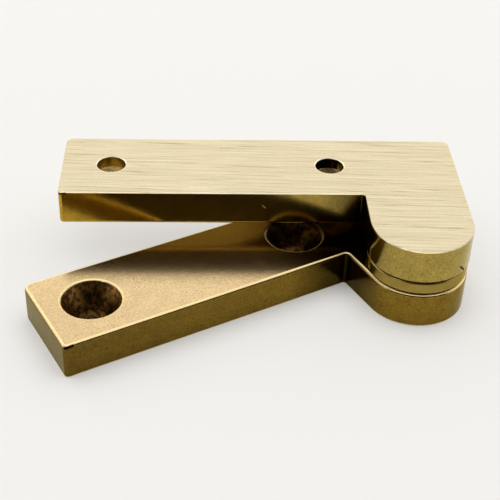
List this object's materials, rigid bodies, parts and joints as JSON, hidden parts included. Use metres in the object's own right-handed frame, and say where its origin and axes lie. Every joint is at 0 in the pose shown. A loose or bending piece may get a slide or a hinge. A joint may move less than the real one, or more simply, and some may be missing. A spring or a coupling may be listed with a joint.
{
  "type": "cabinet pivot hinge",
  "caption": "Cranked knife-type pivot hinge: flat L-shaped brass leaves, one above the other, turn on a hidden pin with a thick thrust washer between their round knuckles.",
  "frame": {"origin": "on the pivot axis, at the lower leaf's outer (under) face", "axes": "+Z along the pivot axis, from the lower leaf to the upper leaf; the upper leaf's arm runs along -X and its crank steps to +Y"},
  "size_m": [0.0682, 0.0436, 0.0141],
  "materials": {
    "lower_leaf_brass": "tumbled inner face and edges, brushed outer face",
    "upper_leaf_brass": "tumbled inner face and edges, brushed outer face",
    "washer_brass": "fine turned",
    "pin_steel": "ground"
  },
  "bodies": {
    "lower": {"lower_leaf": "lower_leaf_brass", "pivot_pin": "pin_steel"},
    "washer": {"thrust_washer": "washer_brass"},
    "upper": {"upper_leaf": "upper_leaf_brass"}
  },
  "joints": [
    {"name": "swing", "type": "hinge", "parent": "lower", "child": "washer", "pos_m": [0, 0, 0.0059], "axis": [0, 0, 1], "continuous": true},
    {"name": "lift_off", "type": "slide", "parent": "washer", "child": "upper", "axis": [0, 0, 1], "range_m": [0, 0.005]}
  ]
}
